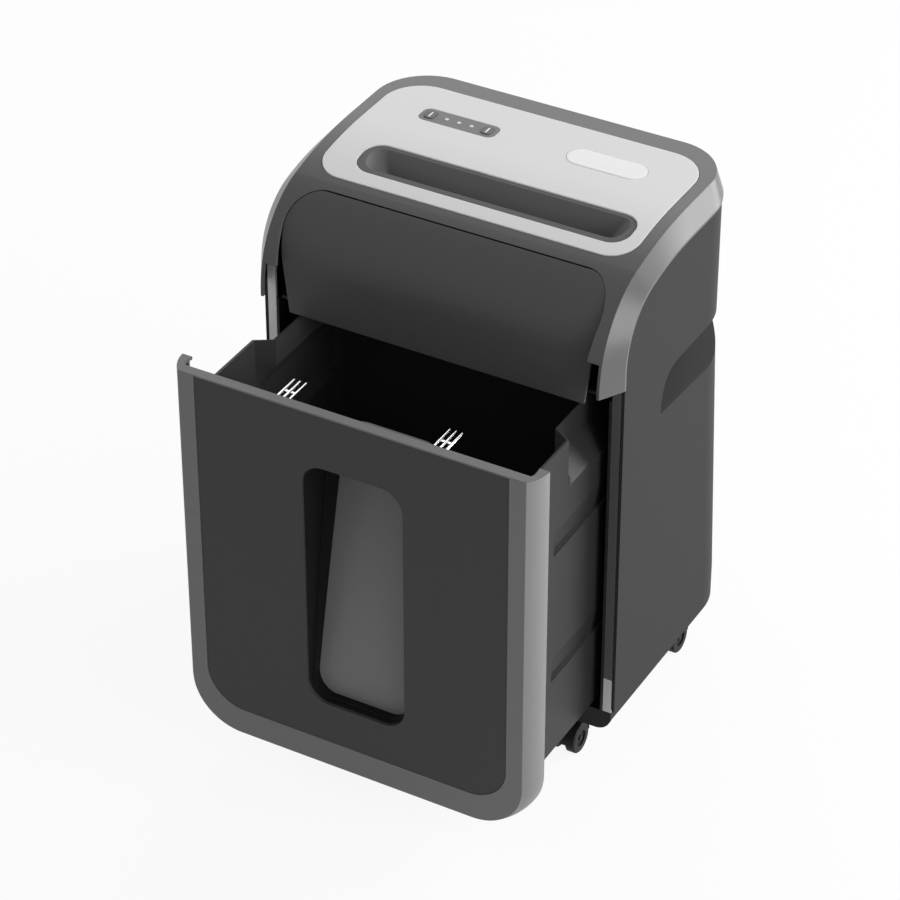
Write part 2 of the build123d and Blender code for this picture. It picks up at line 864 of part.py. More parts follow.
def comb(y, side, offset):
    """A stripper comb: a bar with one finger in each gap between the discs of its cutter."""
    bar_y = y + side * (disc_radius + 1)
    far_y = bar_y + side * comb_bar
    z = (cutter_z - comb_height, cutter_z)
    body = slab((cut_left, cut_right), (min(bar_y, far_y), max(bar_y, far_y)), z)
    tip_y = y + side * (core_radius + 1)
    starts = disc_starts(offset)
    for x in starts[:-1]:
        finger = (x + disc_thick() + finger_clear, x + disc_pitch - finger_clear)
        body += slab(finger, (min(tip_y, bar_y), max(tip_y, bar_y)), z)
    return body


def gear_sketch(module, teeth, phase):
    """A gear with straight-sided teeth, one of them pointing along phase, in radians."""
    pitch_r = module * teeth / 2
    root_r = pitch_r - 1.25 * module
    tip_r = pitch_r + 0.85 * module
    step = 2 * pi / teeth
    points = []
    for i in range(teeth):
        a = phase + i * step
        for r, share in ((root_r, -0.29), (tip_r, -0.10), (tip_r, 0.10), (root_r, 0.29)):
            points.append((r * cos(a + share * step), r * sin(a + share * step)))
    return make_face(Polyline(*points, close=True))


def meshed_phase(phase, teeth, mate_teeth, direction):
    """Phase of a mate whose gap meets the tooth of a gear that lies along direction from it."""
    return direction + pi - ((phase - direction) * teeth + pi) / mate_teeth


def motor_place():
    """Middle of the motor, as y and z."""
    return (rear_cutter_y + motor_back - cutter_spacing, cutter_z)


def middle_gear_place():
    """Axle of the intermediate gear, in mesh with the drive gear and the motor pinion."""
    motor_y, motor_z = motor_place()
    span = motor_y - rear_cutter_y
    to_drive = drive_module * (drive_teeth + small_teeth) / 2
    to_motor = large_module * (large_teeth + pinion_teeth) / 2
    a = acos((to_drive**2 + span**2 - to_motor**2) / (2 * to_drive * span))
    return (rear_cutter_y + to_drive * cos(a), motor_z + to_drive * sin(a))


def gear_planes():
    """Where the sync, drive and motor gears begin along x."""
    sync = right_plate_x + plate_steel + bush_flange + 1
    drive = sync + gear_width + gear_step
    return (sync, drive, drive + gear_width + gear_step / 2)


def gear_phases():
    """Phases of every gear, so that all of them are in mesh at rest."""
    middle_y, middle_z = middle_gear_place()
    motor_y, motor_z = motor_place()
    to_middle = atan2(middle_z - cutter_z, middle_y - rear_cutter_y)
    to_motor = atan2(motor_z - middle_z, motor_y - middle_y)
    small = meshed_phase(0, drive_teeth, small_teeth, to_middle)
    return {
        "front_sync": meshed_phase(0, sync_teeth, sync_teeth, pi),
        "small": small,
        "pinion": meshed_phase(0, large_teeth, pinion_teeth, to_motor),
    }


def gear(y, z, module, teeth, phase, x, bore):
    body = along_x(Pos(y, z) * gear_sketch(module, teeth, phase), x, x + gear_width)
    return body - rod_x(y, z, bore, x - 1, x + gear_width + 1)


def intermediate_gear():
    y, z = middle_gear_place()
    sync, drive, large = gear_planes()
    small = Pos(y, z) * gear_sketch(drive_module, small_teeth, gear_phases()["small"])
    body = along_x(small, drive, large)
    body += along_x(Pos(y, z) * gear_sketch(large_module, large_teeth, 0), large, large + gear_width)
    return body - rod_x(y, z, gear_axle_radius + running_gap, drive - 1, large + gear_width + 1)


def gear_axle():
    y, z = middle_gear_place()
    sync, drive, large = gear_planes()
    axle = rod_x(y, z, gear_axle_radius, right_plate_x, large + gear_width + gear_step / 2)
    collar = gear_axle_radius + bush_wall / 2
    axle += rod_x(y, z, collar, right_plate_x + plate_steel, drive - fit_gap)
    return axle + rod_x(y, z, collar, large + gear_width + fit_gap, large + gear_width + gear_step / 2)


def motor_pinion():
    y, z = motor_place()
    sync, drive, large = gear_planes()
    teeth = Pos(y, z) * gear_sketch(large_module, pinion_teeth, gear_phases()["pinion"])
    shaft = rod_x(y, z, motor_shaft_radius, right_plate_x - motor_length + motor_wall / 2, large)
    return shaft + along_x(teeth, large, large + gear_width)


def armature_start():
    """Where the motor's armature begins along x: midway in its can."""
    return right_plate_x - (motor_length + armature_length) / 2


def motor_armature():
    y, z = motor_place()
    x = armature_start()
    core = rod_x(y, z, armature_radius, x, x + armature_length)
    return core - rod_x(y, z, motor_shaft_radius, x - 1, x + armature_length + 1)


def motor_body():
    y, z = motor_place()
    near = right_plate_x - motor_length
    band = motor_length / 8
    body = rod_x(y, z, motor_radius - 1, near, right_plate_x)
    for x in (near, right_plate_x - band):
        body += rod_x(y, z, motor_radius, x, x + band)
    body += rod_x(y, z, motor_neck_radius, right_plate_x, right_plate_x + plate_steel)
    body -= rod_x(y, z, motor_radius - motor_wall, near + 2 * motor_wall, right_plate_x - 2 * motor_wall)
    bore = motor_shaft_radius + running_gap
    body -= rod_x(y, z, bore, near + motor_wall / 2 - fit_gap, right_plate_x + plate_steel + 1)
    for screw_y, screw_z in motor_screw_places():
        body -= rod_x(screw_y, screw_z, screw_radius / 2, right_plate_x - screw_radius * 2, right_plate_x + 1)
    return body


def motor_screw_places():
    """Middles of the motor's screws, as y and z."""
    y, z = motor_place()
    reach = (motor_radius + motor_neck_radius) / 2
    return [(y + reach * cos(a), z + reach * sin(a)) for a in (pi / 4, 3 * pi / 4, 5 * pi / 4, 7 * pi / 4)]


def motor_screws():
    screws = []
    outside = right_plate_x + plate_steel
    for y, z in motor_screw_places():
        screw = rod_x(y, z, screw_radius / 2, right_plate_x - screw_radius * 2, outside)
        screws.append(screw + rod_x(y, z, screw_radius, outside, outside + screw_head))
    return Compound(children=screws)


def circuit_board():
    x = (board_x, board_x + board_thick)
    y0 = feed_y - board_length / 4
    board = slab(x, (y0, y0 + board_length), (deck_top, deck_top + board_height))
    pieces = [board]
    relay = board_height / 3
    for i in range(2):
        y = y0 + board_length * (0.2 + 0.3 * i)
        pieces.append(slab((x[0] - relay, x[0]), (y, y + relay), (deck_top + relay, deck_top + 2 * relay)))
    y = y0 + board_length * 0.82
    pieces.append(rod_x(y, deck_top + board_height / 2, relay / 2, x[0] - relay, x[0]))
    return Compound(children=pieces)


def paper_sensor():
    wall = feed_y + throat_gap / 2 + throat_wall
    z = cutter_z + disc_radius + throat_clear
    x = slot_shift
    low = z + deck_thick
    return slab((x - sensor_size, x + sensor_size), (wall, wall + sensor_size / 2), (low, low + sensor_size))


def bin_sensor():
    rear = head_back - skin_wall - fit_gap
    x = (-sensor_size, sensor_size)
    top = deck_top - deck_thick
    return slab(x, (rear - sensor_size, rear), (top - sensor_size, top))


def rocker_hole(grow):
    """Front view of the hole for the rocker switch's bezel."""
    return Pos(rocker_x, rocker_z) * Rectangle(rocker_width + 2 * grow, rocker_height + 2 * grow)


def rocker_bezel():
    rim = Pos(rocker_x, rocker_z) * RectangleRounded(
        rocker_width + 2 * bezel_rim, rocker_height + 2 * bezel_rim, bezel_rim
    )
    bezel = along_y(rim, head_back, head_back + rocker_stand)
    bezel += along_y(rocker_hole(0), head_back - skin_wall - rocker_deep, head_back)
    wall = rocker_width / 10
    inner = Pos(rocker_x, rocker_z) * Rectangle(rocker_width - 2 * wall, rocker_height - 2 * wall)
    bezel -= along_y(inner, head_back - skin_wall - rocker_deep + wall, head_back + rocker_stand + 1)
    reach = rocker_pin_reach() + fit_gap
    hole = rocker_pin + running_gap
    return bezel - rod_x(rocker_pivot_y(), rocker_z, hole, rocker_x - reach, rocker_x + reach)


def rocker_pivot_y():
    """The rocker turns about a line just inside the panel."""
    return head_back - skin_wall - rocker_deep / 4


def rocker_pin_reach():
    """How far the rocker's pins stand out on each side, half way into the bezel's walls."""
    return rocker_width / 2 - rocker_width / 20


def rocker():
    """A two-armed rocker: a round barrel with a shallow vee of a face, on stub pins."""
    wall = rocker_width / 10
    width = rocker_width / 2 - wall - fit_gap
    tall = rocker_height / 2 - wall - rocker_play
    y = rocker_pivot_y()
    face = head_back + rocker_stand
    outline = Polyline(
        (y, rocker_z - tall / 2),
        (face - 1, rocker_z - tall),
        (face + 1, rocker_z - tall),
        (face - 1, rocker_z),
        (face + 1, rocker_z + tall),
        (face - 1, rocker_z + tall),
        (y, rocker_z + tall / 2),
        close=True,
    )
    body = along_x(make_face(outline), rocker_x - width, rocker_x + width)
    reach = rocker_pin_reach()
    body += rod_x(y, rocker_z, rocker_pin, rocker_x - reach, rocker_x + reach)
    return body.rotate(Axis((rocker_x, y, rocker_z), (1, 0, 0)), -rocker_tilt)


def cord_gland():
    inside = head_back - skin_wall
    gland = rod_y(rocker_x, gland_z, gland_radius, inside - skin_wall, head_back)
    gland += rod_y(rocker_x, gland_z, gland_radius + bezel_rim, head_back, head_back + rocker_stand)
    gland += rod_y(rocker_x, gland_z, gland_radius - 1, head_back + rocker_stand, head_back + gland_length)
    return gland - rod_y(rocker_x, gland_z, gland_bore, inside - 2 * skin_wall, head_back + gland_length + 1)


def cabinet_screw_places():
    """Screws that hold the head deck down on the two inner walls, as x and y."""
    x = inner_half - inner_wall - bush_wall
    return [(side * x, y) for side in (-1, 1) for y in (cabinet_front + 20, corner_y - 20)]


def cabinet_screws():
    heads = []
    for x, y in cabinet_screw_places():
        heads.append(rod_z(x, y, screw_radius, deck_top, deck_top + screw_head))
    return Compound(children=heads)


def bin_face(grow_x, grow_z):
    """Front view of the bin's face, with round lower corners and square upper ones."""
    width = 2 * (bin_face_half + grow_x)
    low = bin_bottom - grow_z
    tall = bin_top - low
    outline = Pos(0, low + tall / 2) * Rectangle(width, tall)
    return fillet(outline.vertices().group_by(Axis.Y)[0], bin_corner + grow_x)


def front_plane(y, sketch):
    """A front view set upright at one y."""
    return Plane.XZ.offset(-y) * sketch


def bin_shell(inset, y0):
    """The bin's flared front, as a solid that starts at y0."""
    steps = [(y0, 0.0, 0.0), (front + flare_mid, flare_mid_out, flare_down * 0.7)]
    steps.append((front + flare_depth, flare_out, flare_down))
    faces = [front_plane(y, bin_face(out - inset, down - inset)) for y, out, down in steps]
    return loft(faces)


def plate_hole(grow):
    """Front view of the opening that the bin's front plate fills."""
    width = 2 * (bin_face_half - bin_arm + grow)
    low = bin_bottom + bin_foot - grow
    high = bin_top - top_bar + grow
    outline = Pos(0, (low + high) / 2) * Rectangle(width, high - low)
    return fillet(outline.vertices().group_by(Axis.Y)[0], bin_inner_corner + grow)


def bin_frame():
    below_top = slab((-half, half), (front, front + flare_depth), (0, bin_top))
    frame = bin_shell(0, front) - bin_shell(frame_wall, front + frame_wall)
    cap = bin_shell(0, front) - bin_shell(top_bar_depth, front + top_bar_depth)
    frame += cap & slab((-half, half), (front, front + flare_depth), (bin_top - 2 * top_bar, bin_top))
    lip_y = (front + flare_depth - lip_thick, front + flare_depth)
    lip = along_y(bin_face(flare_out - frame_wall / 2, flare_down - frame_wall / 2), *lip_y)
    lip -= along_y(bin_face(flare_out - lip_reach, flare_down - lip_reach), lip_y[0] - 1, lip_y[1] + 1)
    frame += lip & below_top
    ledge_y = front + front_plate_sink + front_plate_thick
    frame += along_y(plate_hole(ledge_reach), ledge_y, ledge_y + ledge_thick) & below_top
    frame -= along_y(plate_hole(-ledge_reach), front - 1, front + flare_depth + 1)
    frame -= along_y(plate_hole(0), front - 1, ledge_y)
    bar = slab((-bin_face_half, bin_face_half), (front, front + top_bar_depth), (bin_top - top_bar, bin_top))
    frame += bar
    for x, z in bin_post_places():
        frame += rod_y(x, z, post_radius, ledge_y, front + tub_front - fit_gap)
        reach = (bin_face_half - bin_arm) * (1 if x > 0 else -1)
        lug_x = (min(x, reach), max(x, reach))
        frame += slab(lug_x, (ledge_y, ledge_y + ledge_thick), (z - post_radius, z + post_radius))
    return frame & slab((-half, half), (front, front + tub_front), (0, bin_top))


def bin_post_places():
    """Posts behind the bin's frame that the tub is screwed to, as x and z."""
    x = tub_half - tub_corner - post_radius
    return [(side * x, z) for side in (-1, 1) for z in post_heights]


def window_outline(grow):
    """Front view of the window in the bin's front."""
    width = window_width + 2 * grow
    tall = window_high - window_low + 2 * grow
    middle = (window_high + window_low) / 2
    return Pos(window_x, middle) * RectangleRounded(width, tall, window_radius + grow)


def bin_front_plate():
    y0 = front + front_plate_sink
    plate = along_y(plate_hole(-fit_gap), y0, y0 + front_plate_thick - fit_gap)
    return plate - along_y(window_outline(0), y0 - 1, y0 + front_plate_thick + 1)


def scoop_side(low_depth, high_depth):
    """Side view of a space behind the front plate, as deep as given at its foot and at its top."""
    y0 = front + front_plate_sink + front_plate_thick
    low = (front + low_depth, window_low - 2 * scoop_flange)
    high = (front + high_depth, window_high + 2 * scoop_flange)
    middle = ((low[0] + high[0]) / 2 - pane_sag, (low[1] + high[1]) / 2)
    curve = ThreePointArc(low, middle, high)
    edges = [curve, Line(high, (y0, high[1])), Line((y0, high[1]), (y0, low[1])), Line((y0, low[1]), low)]
    return along_x(make_face(edges), -half, half)


def window_surround():
    y0 = front + front_plate_sink + front_plate_thick
    far = front + scoop_high + scoop_flange
    walls = along_y(window_outline(scoop_wall), y0, far) & scoop_side(scoop_low, scoop_high)
    flange = along_y(window_outline(scoop_flange), y0, y0 + scoop_wall)
    inner = along_y(window_outline(-step_in), y0 - 1, far + 1)
    outer = along_y(window_outline(0), y0 - 1, far + 1) & scoop_side(step_low, step_high)
    return walls + flange - inner - outer


def window_pane():
    far = front + scoop_high + scoop_flange
    near = fit_gap
    body = scoop_side(scoop_low + pane_wall + near, scoop_high + pane_wall + near)
    body -= scoop_side(scoop_low + near, scoop_high + near)
    return body & along_y(window_outline(scoop_wall), front + front_plate_thick + front_plate_sink, far)


def tub_plan(inset, depth):
    """Plan of the tub's upper part, drawn in at its rear by a depth."""
    x = tub_half - inset
    x_in = x - depth
    y0 = front + tub_front + inset
    y1 = front + tub_front + tub_length - inset
    notch = front + notch_front
    points = [(x, y0), (x, notch), (x_in, notch + notch_run), (x_in, y1)]
    points += [(-px, py) for px, py in reversed(points)]
    return make_face(Polyline(*points, close=True))


def tub_upper(inset, low, top):
    """The tub's upper part, which slopes in to its notches."""
    high = low + notch_slope
    foot = Plane.XY.offset(low) * tub_plan(inset, notch_least)
    neck = Plane.XY.offset(high) * tub_plan(inset, notch_in)
    return loft([foot, neck], ruled=True) + along_z(tub_plan(inset, notch_in), high, top)


def tub_lower(inset, z0, z1):
    """The tub below its notches, with round upright corners."""
    y0 = front + tub_front + inset
    y1 = front + tub_front + tub_length - inset
    plan = RectangleRounded(2 * (tub_half - inset), y1 - y0, tub_corner - inset)
    return along_z(Pos(0, (y0 + y1) / 2) * plan, z0, z1)


def groove_sketch(side, z, inset):
    """Front view of a wedge let into the side of the tub."""
    edge = side * (tub_half + 1)
    deep = side * (tub_half - groove_deep - inset)
    points = [(edge, z - inset), (deep, z - inset), (edge - side, z + groove_tall), (edge, z + groove_tall)]
    return make_face(Polyline(*points, close=True))


def bin_tub():
    shelf = tub_rim - notch_height
    tub = tub_lower(0, tub_bottom, shelf) + tub_upper(0, shelf, tub_rim)
    hollow = tub_lower(tub_wall, tub_bottom + tub_wall, shelf - tub_wall)
    hollow += tub_upper(tub_wall, shelf - tub_wall, tub_rim + 1)
    tub -= hollow
    run = (front + groove_front, front + tub_front + tub_length - tub_corner)
    room = tub_lower(tub_wall / 2, tub_bottom, shelf)
    for side in (-1, 1):
        for z in groove_heights:
            tub += along_y(groove_sketch(side, z, tub_wall), run[0] - tub_wall, run[1]) & room
            tub -= along_y(groove_sketch(side, z, 0), run[0], run[1] + tub_corner)
    wall_y = (front + tub_front - 1, front + tub_front + tub_wall + 1)
    tub -= along_y(window_outline(scoop_wall + fit_gap), *wall_y)
    for x, z in bin_post_places():
        if z < tub_rim - post_radius:
            tub -= rod_y(x, z, screw_radius / 2, *wall_y)
    return tub


def bin_screws():
    inside = front + tub_front + tub_wall
    screws = []
    for x, z in bin_post_places():
        if z < tub_rim - post_radius:
            screw = rod_y(x, z, screw_radius / 2, front + tub_front, inside)
            screws.append(screw + rod_y(x, z, screw_radius, inside, inside + screw_head))
    return Compound(children=screws)


def bag_clips():
    """Two wire clips on the tub's front rim, each of three wires on a small foot."""
    z = bin_top - top_bar - clip_drop
    wall = front + tub_front
    clips = []
    for x in clip_x:
        reach = clip_pitch + 2 * clip_wire
        foot = slab((x - reach, x + reach), (wall, wall + clip_base), (tub_rim, z + clip_wire))
        for i in (-1, 0, 1):
            foot += rod_y(x + i * clip_pitch, z, clip_wire, wall, wall + clip_length)
        tie = (wall + clip_length / 2, wall + clip_length / 2 + 2 * clip_wire)
        foot += slab((x - clip_pitch, x + clip_pitch), tie, (z - clip_wire, z))
        clips.append(foot)
    return Compound(children=clips)


def save(name, shape):
    export_step(shape, f"parts/{name}.step")


def save_head():
    save("head_arch", head_arch())
    save("head_front_panel", head_front_panel())
    save("top_panel", top_panel())
    save("feed_throat", feed_throat())
    save("control_strip", control_strip())
    save("indicator_lenses", indicator_lenses())
    save("plaque", plaque())
    for name, place in zip(("power_key", "reverse_key"), key_places()):
        save(name, key(place))


def save_cabinet():
    shell = cabinet_shell()
    panel = right_side_panel(shell)
    save("right_side_panel", panel)
    save("left_side_panel", mirrored(panel))
    save("back_panel", back_panel(shell))
    for name, shape in (("front_trim", right_front_trim()), ("inner_wall", right_inner_wall())):
        save(f"right_{name}", shape)
        save(f"left_{name}", mirrored(shape))
    save("base_tray", base_tray())
    save("head_deck", head_deck())
    save("cabinet_screws", cabinet_screws())
    save("rocker_bezel", rocker_bezel())
    save("rocker_switch", rocker())
    save("cord_gland", cord_gland())
    for name, place in castor_places().items():
        save(f"castor_hood_{name}", castor_hood(place))
        save(f"castor_wheels_{name}", castor_wheels(place))


def save_cutting_unit():
    sync, drive, large = gear_planes()
    stagger = disc_pitch / 2
    bore = journal_radius + fit_gap / 10
    save("left_end_plate", left_end_plate())
    save("right_end_plate", right_end_plate())
    save("tie_rods", tie_rods())
    save("cutter_bushes", cutter_bushes())
    save("front_cutter", cutter(front_cutter_y, disc_gap, 1, sync + gear_width))
    save("rear_cutter", cutter(rear_cutter_y, disc_gap + stagger, -1, drive + gear_width))
    save("front_stripper_comb", comb(front_cutter_y, -1, disc_gap))
    save("rear_stripper_comb", comb(rear_cutter_y, 1, disc_gap + stagger))
    front_phase = gear_phases()["front_sync"]
    save("front_sync_gear", gear(front_cutter_y, cutter_z, sync_module, sync_teeth, front_phase, sync, bore))
    save("rear_sync_gear", gear(rear_cutter_y, cutter_z, sync_module, sync_teeth, 0, sync, bore))
    save("drive_gear", gear(rear_cutter_y, cutter_z, drive_module, drive_teeth, 0, drive, bore))
    save("intermediate_gear", intermediate_gear())
    save("gear_axle", gear_axle())
    save("motor_body", motor_body())
    save("motor_pinion", motor_pinion())
    save("motor_armature", motor_armature())
    save("motor_screws", motor_screws())
    save("circuit_board", circuit_board())
    save("paper_sensor", paper_sensor())
    save("bin_sensor", bin_sensor())


def save_bin():
    save("bin_frame", bin_frame())
    save("bin_front_plate", bin_front_plate())
    save("window_surround", window_surround())
    save("window_pane", window_pane())
    save("bin_tub", bin_tub())
    save("bin_screws", bin_screws())
    save("bag_clips", bag_clips())


os.makedirs("parts", exist_ok=True)
save_head()
save_cabinet()
save_cutting_unit()
save_bin()
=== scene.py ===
import json

import bpy
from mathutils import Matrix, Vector

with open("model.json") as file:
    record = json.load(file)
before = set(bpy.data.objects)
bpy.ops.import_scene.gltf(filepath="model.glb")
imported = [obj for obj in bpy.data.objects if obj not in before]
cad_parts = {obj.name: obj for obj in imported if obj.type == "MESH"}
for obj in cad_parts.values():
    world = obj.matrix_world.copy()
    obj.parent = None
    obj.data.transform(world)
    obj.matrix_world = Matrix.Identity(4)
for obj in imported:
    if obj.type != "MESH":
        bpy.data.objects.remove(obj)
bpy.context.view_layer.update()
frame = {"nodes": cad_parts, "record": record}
nodes = frame["nodes"]
scene = bpy.context.scene

# Camera, fitted to the photograph
camera_target = Vector((0.09827, -0.206, 0.4253))
camera_back = Vector((0.3997, -0.7127, 0.5764))
camera_distance = 2.9242
camera_lens = 141.64
camera_sensor = 36.0
camera_reach = 50.0

# Soft light of the studio: the even part, and what comes on top of it from the right
light_even = 0.3
light_side = (1.0, 0.0, 0.0)
light_slope = 0.73
pale = (0.8, 0.8, 0.8, 1.0)
white = (1.0, 1.0, 1.0, 1.0)

# Soft lamps: place, the point that they face, width and height in metres, power in watts
cabinet_middle = (0.0, 0.0, 0.35)
head_top = (0.0, 0.0, 0.5)
lamps = {
    "right_soft": ((2.2, -0.2, 0.8), cabinet_middle, (1.2, 1.2), 37.0),
    "rear_soft": ((1.65, 1.78, 0.8), cabinet_middle, (1.4, 1.4), 58.0),
    "back_soft": ((-1.0, 1.9, 1.9), head_top, (1.5, 2.0), 18.0),
    "left_soft": ((-2.2, -0.2, 0.8), cabinet_middle, (1.2, 1.2), 14.0),
}

# Floor: half its width, its roughness, and the share of its look that is plain white;
# the rest takes the light and the shadow
floor_reach = 6.0
floor_roughness = 0.9
floor_white = 0.9

# Moulded grain: its fineness, depth in metres and strength, the broad drift of the roughness,
# and the radius of the rounded edges in metres
grain_scale = 2500.0
grain_detail = 1.0
grain_depth = 0.0001
grain_strength = 0.08
drift_scale = 35.0
drift_detail = 3.0
drift_spread = 0.02
edge_radius = 0.0006
edge_samples = 4

# Plain plastics: grey from 0 to 255, and roughness
plain_plastics = {
    "frame_grey": (88, 0.28),
    "panel_dark": (85, 0.42),
    "throat_black": (104, 0.5),
    "strip_grey": (125, 0.4),
    "lens": (205, 0.2),
    "plaque_white": (250, 0.3),
    "trim_light": (240, 0.4),
    "inner_grey": (40, 0.5),
    "black": (26, 0.45),
    "bin_grey": (114, 0.42),
    "bin_dark": (65, 0.45),
    "surround_black": (26, 0.4),
    "gear_white": (225, 0.4),
    "motor_grey": (120, 0.4),
    "wheel_black": (26, 0.5),
}

# Gloss of a plastic, and of those that shine more
plastic_gloss = 0.12
glossy_plastics = {"frame_grey": 0.24, "bin_grey": 0.2, "lens": 0.4}

# Bare metals: grey from 0 to 255, and roughness
bare_metals = {
    "clip_chrome": (225, 0.12),
    "steel": (175, 0.3),
    "zinc": (190, 0.35),
}
metal_grain_strength = 0.05
brass_colour = (0.62, 0.45, 0.18, 1.0)
board_colour = (0.03, 0.17, 0.06, 1.0)
coloured_roughness = 0.35

# Silver paint of the top panel
silver_grey = 207
silver_roughness = 0.9
silver_metallic = 0.95
silver_grain_scale = 4000.0
silver_grain_strength = 0.2
silver_edge_radius = 0.0015

# Smoky window pane
pane_grey = 138
pane_roughness = 0.25
pane_alpha = 0.96

# Tub: outside grey, the paler inside grey that is painted light, and the point over its middle
# that the inside faces look to
tub_outside = 35
tub_inside_painted_light = 66
tub_middle = (0.0, -0.074, 0.5)
tub_roughness = 0.4

# Side panels and back: the skin, the darker painted shade on faces that lean upward such as the
# sill of the hand grip, and how far up a face must look to get it
side_skin = 47
side_sill_painted_shade = 28
side_roughness = 0.5
side_gloss = 0.04
painted_shade_slope = 0.2

# Right front trim: its own light grey at the foot, a painted shadow above it, and the height
# between them in metres
trim_foot = 190
trim_painted_shadow = 84
trim_foot_height = 0.1
trim_roughness = 0.45

# Keys: the cap, its plain bar, the middle of each key, and half the bar's sizes in metres
key_grey = 105
key_bar_grey = 240
key_roughness = 0.4
power_key_middle = (-0.1025, 0.117, 0.0)
reverse_key_middle = (-0.0445, 0.117, 0.0)
key_bar_half = (0.0009, 0.0042, 1.0)


def add_camera():
    data = bpy.data.cameras.new("camera")
    data.lens = camera_lens
    data.sensor_width = camera_sensor
    data.clip_end = camera_reach
    camera = bpy.data.objects.new("camera", data)
    camera.location = camera_target + camera_back.normalized() * camera_distance
    camera.rotation_euler = camera_back.to_track_quat("Z", "Y").to_euler()
    scene.collection.objects.link(camera)
    scene.camera = camera


def grey(value):
    """An sRGB grey from 0 to 255 as a linear colour."""
    v = value / 255.0
    v = v / 12.92 if v <= 0.04045 else ((v + 0.055) / 1.055) ** 2.4
    return (v, v, v, 1.0)


def add_math(tree, operation, second=None):
    """A math node, with a fixed second number where one is given."""
    node = tree.nodes.new("ShaderNodeMath")
    node.operation = operation
    if second is not None:
        node.inputs[1].default_value = second
    return node


def add_vector_math(tree, operation):
    node = tree.nodes.new("ShaderNodeVectorMath")
    node.operation = operation
    return node


def new_group(name, inputs, outputs):
    """An empty shader node group with named inputs and outputs."""
    group = bpy.data.node_groups.new(name, "ShaderNodeTree")
    for label, kind, value in inputs:
        socket = group.interface.new_socket(label, in_out="INPUT", socket_type=kind)
        socket.default_value = value
    for label, kind in outputs:
        group.interface.new_socket(label, in_out="OUTPUT", socket_type=kind)
    return group, group.nodes.new("NodeGroupInput"), group.nodes.new("NodeGroupOutput")


def grain_group():
    """Fine moulded grain: a normal and a slight change of roughness."""
    inputs = [
        ("Scale", "NodeSocketFloat", grain_scale),
        ("Strength", "NodeSocketFloat", grain_strength),
        ("Roughness", "NodeSocketFloat", 0.5),
        ("Spread", "NodeSocketFloat", drift_spread),
        ("Normal", "NodeSocketVector", (0.0, 0.0, 1.0)),
    ]
    outputs = [("Normal", "NodeSocketVector"), ("Roughness", "NodeSocketFloat")]
    group, given, result = new_group("moulded_grain", inputs, outputs)
    make = group.nodes.new
    link = group.links.new
    place = make("ShaderNodeTexCoord")
    fine = make("ShaderNodeTexNoise")
    fine.inputs["Detail"].default_value = grain_detail
    broad = make("ShaderNodeTexNoise")
    broad.inputs["Scale"].default_value = drift_scale
    broad.inputs["Detail"].default_value = drift_detail
    bump = make("ShaderNodeBump")
    bump.inputs["Distance"].default_value = grain_depth
    centred = add_math(group, "SUBTRACT", 0.5)
    scaled = add_math(group, "MULTIPLY_ADD")
    link(place.outputs["Object"], fine.inputs["Vector"])
    link(place.outputs["Object"], broad.inputs["Vector"])
    link(given.outputs["Scale"], fine.inputs["Scale"])
    link(given.outputs["Strength"], bump.inputs["Strength"])
    link(fine.outputs["Fac"], bump.inputs["Height"])
    link(given.outputs["Normal"], bump.inputs["Normal"])
    link(broad.outputs["Fac"], centred.inputs[0])
    link(centred.outputs["Value"], scaled.inputs[0])
    link(given.outputs["Spread"], scaled.inputs[1])
    link(given.outputs["Roughness"], scaled.inputs[2])
    link(bump.outputs["Normal"], result.inputs["Normal"])
    link(scaled.outputs["Value"], result.inputs["Roughness"])
    return group


def bar_group():
    """One inside a rectangle that lies flat round a point, nought outside it."""
    inputs = [
        ("Centre", "NodeSocketVector", (0.0, 0.0, 0.0)),
        ("Half", "NodeSocketVector", key_bar_half),
    ]
    group, given, result = new_group("flat_mark", inputs, [("Inside", "NodeSocketFloat")])
    make = group.nodes.new
    link = group.links.new
    place = make("ShaderNodeTexCoord")
    away = add_vector_math(group, "SUBTRACT")
    size = add_vector_math(group, "ABSOLUTE")
    share = add_vector_math(group, "DIVIDE")
    sides = make("ShaderNodeSeparateXYZ")
    most = add_math(group, "MAXIMUM")
    inside = add_math(group, "LESS_THAN", 1.0)
    link(place.outputs["Object"], away.inputs[0])
    link(given.outputs["Centre"], away.inputs[1])
    link(away.outputs["Vector"], size.inputs[0])
    link(size.outputs["Vector"], share.inputs[0])
    link(given.outputs["Half"], share.inputs[1])
    link(share.outputs["Vector"], sides.inputs["Vector"])
    link(sides.outputs["X"], most.inputs[0])
    link(sides.outputs["Y"], most.inputs[1])
    link(most.outputs["Value"], inside.inputs[0])
    link(inside.outputs["Value"], result.inputs["Inside"])
    return group


moulded_grain = grain_group()
flat_bar = bar_group()


def shader_of(material):
    return material.node_tree.nodes["Principled BSDF"]


def moulded(name, colour, roughness, gloss=plastic_gloss, strength=grain_strength,
            scale=grain_scale, radius=edge_radius):
    """A moulded plastic with fine grain and softly rounded edges."""
    material = bpy.data.materials.new(name)
    material.use_nodes = True
    tree = material.node_tree
    shader = shader_of(material)
    shader.inputs["Base Color"].default_value = colour
    shader.inputs["Specular IOR Level"].default_value = gloss
    texture = tree.nodes.new("ShaderNodeGroup")
    texture.node_tree = moulded_grain
    texture.inputs["Scale"].default_value = scale
    texture.inputs["Strength"].default_value = strength
    texture.inputs["Roughness"].default_value = roughness
    rounded = tree.nodes.new("ShaderNodeBevel")
    rounded.samples = edge_samples
    rounded.inputs["Radius"].default_value = radius
    tree.links.new(rounded.outputs["Normal"], texture.inputs["Normal"])
    tree.links.new(texture.outputs["Normal"], shader.inputs["Normal"])
    tree.links.new(texture.outputs["Roughness"], shader.inputs["Roughness"])
    return material


